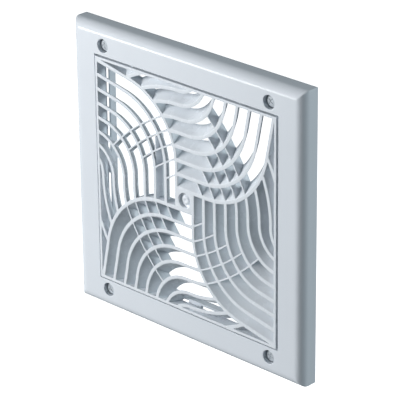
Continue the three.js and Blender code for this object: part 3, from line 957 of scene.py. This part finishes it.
class GRILLE_OT_panel(bpy.types.Operator):
    """Build the louvre panel: rim, swirling louvres, cross ribs, fin, boss and friction nubs"""

    bl_idname = "grille.panel"
    bl_label = "Louvre panel"

    def execute(self, context):
        p = context.scene.grille_panel
        half = FRAME_HALF - context.scene.grille_bezel.band - p.gap
        depth = PANEL_FRONT - PANEL_BACK
        swirl = Swirl(p, half)
        wall = rib_section(p.rib, depth - LAYER_STEP, p.fillet, p.rib * WALL_BACK)
        rib = rib_section(p.rib, depth - 3 * LAYER_STEP, p.fillet, p.rib * RIB_BACK)
        thin = rib_section(p.cross_rib, depth - 5 * LAYER_STEP, p.fillet * THIN_FILLET,
                           p.cross_rib * RIB_BACK)
        louvres = int(np.ceil(half / p.pitch))
        quarter = [boundary_wall(swirl, PANEL_FRONT - LAYER_STEP, wall)]
        for k in range(louvres):
            quarter.append(louvre(swirl, k, PANEL_FRONT - 2 * LAYER_STEP, rib, depth))
        for k in range(1, p.cross_ribs + 1):
            quarter.append(cross_rib(swirl, k, PANEL_FRONT - 3 * LAYER_STEP, thin, depth))
        bodies = [panel_rim(p, half), centre_boss(p)]
        for side in range(4):
            bodies += [(turn(points, side), faces) for points, faces in quarter]
            for along in (-p.nub_spread, p.nub_spread):
                bodies.append(friction_nub(p, half, side, along))
        fin_x = -p.first_rib - p.pitch * p.fin_rib
        fin_low = (fin_x - p.cross_rib / 2, -p.fin_drop, PANEL_BACK + LAYER_STEP)
        fin_high = (fin_x + p.cross_rib / 2, p.fin_top, PANEL_FRONT - p.fin_setback)
        bodies.append(slab(fin_low, fin_high, FIN_FILLET))
        material = moulded_plastic("panel_plastic_skin", tuple(p.colour), roughness=0.26)
        make_piece("louvre_panel", bodies, material, "panel", ["grille_panel"])
        return {"FINISHED"}


# ------------------------------------------------------------------ screws


def screw_head(s):
    """Pan head over a polar grid: an elliptic crown less a cross recess with soft walls.

    Height is head_rim + crown * sqrt(1 - (r / R) ^ 4); the recess takes off its depth where the
    nearest cross arm is closer than half the slot's width, over a short smooth step. The arms
    narrow towards their tips.
    """
    around = np.linspace(0, 2 * np.pi, HEAD_COLUMNS, endpoint=False)[None, :]
    share = np.linspace(1, 0.01, HEAD_ROWS)[:, None]
    radius = SCREW_HEAD_RADIUS * np.sin(share * np.pi / 2)
    seat = SCREW_TOP - s.head
    crown = (s.head - s.head_rim) * np.sqrt(np.clip(1 - (radius / SCREW_HEAD_RADIUS) ** 4, 0, 1))
    x, y = radius * np.cos(around), radius * np.sin(around)
    taper = 1 - SLOT_TAPER * np.clip(np.maximum(abs(x), abs(y)) / (s.slot_length / 2), 0, 1)
    near = np.minimum(abs(x), abs(y)) - s.slot_width / 2 * taper
    far = np.maximum(abs(x), abs(y)) - s.slot_length / 2
    gap = np.maximum(near, far)
    step = np.clip(0.5 - gap / SLOT_WALL, 0, 1)
    cut = step * step * (3 - 2 * step)
    z = seat + s.head_rim + crown - s.slot_depth * cut
    top = np.stack([x, y, z], axis=-1)
    rim = turned(np.array([(s.core, seat), (SCREW_HEAD_RADIUS - HEAD_EASE, seat),
                           (SCREW_HEAD_RADIUS, seat + HEAD_EASE)]), HEAD_COLUMNS)
    return capped_tube(np.concatenate([rim, top]))


def screw_thread(s):
    """Threaded shank: radius is the core plus a sharp crest that climbs one pitch a turn.

    The crest is max(0, 1 - 3 |t|) ^ 0.7 of the turn's phase t, and it fades at both ends and
    follows the cone of the tip.
    """
    around = np.linspace(0, 2 * np.pi, THREAD_COLUMNS, endpoint=False)[None, :]
    seat = SCREW_TOP - s.head
    into_head = 0.05 * MM
    z = np.linspace(seat + into_head, SCREW_TIP, THREAD_ROWS)[:, None]
    cone = np.clip((z - SCREW_TIP) / s.tip, 0, 1)
    start = np.clip((seat - PLAIN_SHANK - z) / PLAIN_SHANK, 0, 1)
    phase = (z / s.pitch - around / (2 * np.pi)) % 1 - 0.5
    crest = np.clip(1 - 3 * abs(phase), 0, 1) ** 0.7
    radius = (s.core + (s.shank - s.core) * crest * start) * np.clip(cone, BLUNT_TIP, 1)
    grid = np.stack([radius * np.cos(around), radius * np.sin(around),
                     np.broadcast_to(z, radius.shape)], axis=-1)
    return capped_tube(grid)


class GRILLE_OT_screws(bpy.types.Operator):
    """Build the four cross-recess pan-head fixing screws"""

    bl_idname = "grille.screws"
    bl_label = "Fixing screws"

    def execute(self, context):
        s = context.scene.grille_screws
        material = zinc_plate("zinc_plated_steel", tuple(s.colour))
        for node, degrees in SCREW_TURNS.items():
            swing = np.radians(degrees)
            low, high = low_high(node)
            place = np.array([(low[0] + high[0]) / 2, (low[2] + high[2]) / 2, 0.0])
            spin = np.array([[np.cos(swing), np.sin(swing), 0.0],
                             [-np.sin(swing), np.cos(swing), 0.0], [0.0, 0.0, 1.0]])
            bodies = [(points @ spin + place, faces)
                      for points, faces in (screw_head(s), screw_thread(s))]
            make_piece(node.replace("fixing_", "pan_head_"), bodies, material, "frame",
                       [node])
        return {"FINISHED"}


# ------------------------------------------------------------------ stage


def toward(azimuth, elevation):
    """Unit vector (sin a cos e, -cos a cos e, sin e) of the azimuth a and the elevation e."""
    return Vector((np.sin(azimuth) * np.cos(elevation), -np.cos(azimuth) * np.cos(elevation),
                   np.sin(elevation)))


def soft_light(name, direction, distance, size, power, tint=(1.0, 1.0, 1.0), diffuse=True,
               glossy=True):
    """An area light aimed at the origin from an azimuth and elevation in degrees."""
    away = toward(*np.radians(direction))
    data = bpy.data.lights.new(name, "AREA")
    data.shape = "RECTANGLE"
    data.size, data.size_y = size
    data.energy = power
    data.color = tint
    lamp = bpy.data.objects.new(name, data)
    lamp.location = away * distance
    lamp.rotation_mode = "QUATERNION"
    lamp.rotation_quaternion = away.to_track_quat("Z", "Y")
    lamp.visible_diffuse = diffuse
    lamp.visible_glossy = glossy
    bpy.context.scene.collection.objects.link(lamp)


def studio_sweep(s):
    """Floor and backdrop in one: a disc, a quarter-round cove and a dome turned about z."""
    cove = np.linspace(0, np.pi / 2, 10)
    rise = np.linspace(0, np.pi / 2, 12)[1:]
    bend = s.floor_radius / 4
    flat = s.floor_radius - bend
    floor = -s.floor_drop
    pole = 0.01  # small circles that the caps close
    profile = np.concatenate([
        [(pole, floor), (flat / 2, floor)],
        np.column_stack([flat + bend * np.sin(cove), floor + bend * (1 - np.cos(cove))]),
        np.column_stack([s.floor_radius * np.cos(rise) + pole,
                         floor + bend + s.floor_radius * np.sin(rise)]),
    ])
    vertices, faces = capped_tube(turned(profile))
    mesh = bpy.data.meshes.new("studio_floor")
    mesh.from_pydata(vertices, [], [row for group in faces for row in group[:, ::-1].tolist()])
    mesh.shade_smooth()
    material, _, shader = new_finish("studio_paper")
    shader.inputs["Base Color"].default_value = (*s.colour, 1.0)
    shader.inputs["Emission Color"].default_value = (*s.colour, 1.0)
    shader.inputs["Emission Strength"].default_value = 1.0
    mesh.materials.append(material)
    sweep = bpy.data.objects.new("studio_floor", mesh)
    sweep.visible_diffuse = False
    sweep.visible_glossy = False
    sweep.visible_shadow = False
    bpy.context.scene.collection.objects.link(sweep)


class GRILLE_OT_stage(bpy.types.Operator):
    """Build the pale floor, the soft studio lights and the camera"""

    bl_idname = "grille.stage"
    bl_label = "Stage"

    def execute(self, context):
        s = context.scene.grille_stage
        scene = context.scene
        studio_sweep(s)
        world = bpy.data.worlds.new("studio_air")
        world.use_nodes = True
        air = world.node_tree.nodes["Background"]
        air.inputs["Color"].default_value = (*s.air_colour, 1.0)
        air.inputs["Strength"].default_value = s.air_strength
        scene.world = world
        soft_light("key", direction=(-42.0, 10.0), distance=1.35, size=(1.0, 0.8), power=22.5,
                   glossy=False)
        soft_light("glint", direction=(-44.0, -8.0), distance=1.6, size=(0.4, 0.14), power=5.0,
                   diffuse=False)
        soft_light("back_rim", direction=(122.0, 18.0), distance=1.6, size=(0.5, 1.0),
                   power=12.5, tint=(0.88, 0.97, 1.0))
        scene.view_settings.view_transform = "Standard"

        data = bpy.data.cameras.new("camera")
        data.lens = s.lens
        data.sensor_width = SENSOR_WIDTH
        back = toward(s.azimuth, s.elevation)
        camera = bpy.data.objects.new("camera", data)
        camera.rotation_mode = "QUATERNION"
        turn_back = (-back).to_track_quat("-Z", "Y").to_matrix()
        roll = Matrix.Rotation(s.roll, 3, "Z")
        camera.rotation_quaternion = (turn_back @ roll).to_quaternion()
        camera.location = Vector(s.aim) + back * s.distance
        data.clip_start = CLIP_START
        data.clip_end = CLIP_END
        scene.collection.objects.link(camera)
        scene.camera = camera
        return {"FINISHED"}


# ------------------------------------------------------------------ panel and registration


class GRILLE_PT_sidebar(bpy.types.Panel):
    """Sidebar page that lists the grille's sizes and builders"""

    bl_idname = "GRILLE_PT_sidebar"
    bl_label = "Wall grille"
    bl_space_type = "VIEW_3D"
    bl_region_type = "UI"
    bl_category = "Grille"

    def draw(self, context):
        for settings, operator in SECTIONS:
            box = self.layout.box()
            group = getattr(context.scene, settings)
            for name in group.bl_rna.properties.keys():
                if name not in {"rna_type", "name"}:
                    box.prop(group, name)
            box.operator(operator.bl_idname)


SECTIONS = [
    ("grille_bezel", GRILLE_OT_bezel),
    ("grille_panel", GRILLE_OT_panel),
    ("grille_screws", GRILLE_OT_screws),
    ("grille_stage", GRILLE_OT_stage),
]
SETTINGS = [BezelSettings, PanelSettings, ScrewSettings, StageSettings]
CLASSES = [*SETTINGS, *[operator for _, operator in SECTIONS], GRILLE_PT_sidebar]


def register():
    for item in CLASSES:
        bpy.utils.register_class(item)
    for (name, _), group in zip(SECTIONS, SETTINGS):
        setattr(bpy.types.Scene, name, PointerProperty(type=group))


def unregister():
    for name, _ in SECTIONS:
        delattr(bpy.types.Scene, name)
    for item in reversed(CLASSES):
        bpy.utils.unregister_class(item)


def main():
    register()
    bpy.ops.grille.stage()
    bpy.ops.grille.bezel()
    bpy.ops.grille.panel()
    bpy.ops.grille.screws()


if __name__ == "__main__":
    main()
